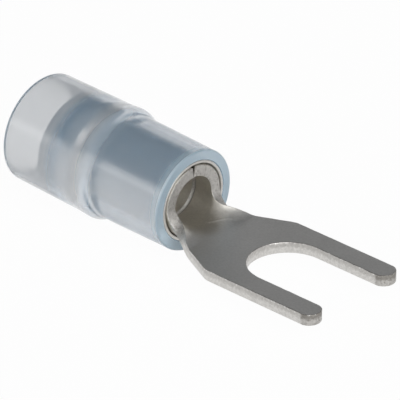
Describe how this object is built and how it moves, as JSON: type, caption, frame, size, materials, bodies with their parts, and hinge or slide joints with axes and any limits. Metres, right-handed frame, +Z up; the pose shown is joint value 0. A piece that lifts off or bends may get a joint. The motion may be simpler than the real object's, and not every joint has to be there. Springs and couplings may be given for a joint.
{
  "type": "insulated fork terminal",
  "caption": "Crimp terminal for a wire: a stamped tinned fork that slides under a screw, with a rolled wire barrel, a metal grip sleeve and a translucent pale blue nylon sleeve.",
  "frame": {"origin": "centre of the stud, at the round end of the slot, on the underside of the tongue", "axes": "+X along the fork towards its open tips, +Y across it, +Z up from the tongue, along the stud"},
  "size_m": [0.0224, 0.0068, 0.0063],
  "materials": {
    "tinned_sheet": "tin plated copper sheet, satin, with brighter sheared edges",
    "tinned_sleeve": "thin tin plated sleeve, smooth",
    "clear_nylon": "translucent pale blue nylon, smooth moulded"
  },
  "bodies": {
    "root": {"fork_terminal": "tinned_sheet", "grip_sleeve": "tinned_sleeve", "insulating_sleeve": "clear_nylon"}
  },
  "joints": []
}
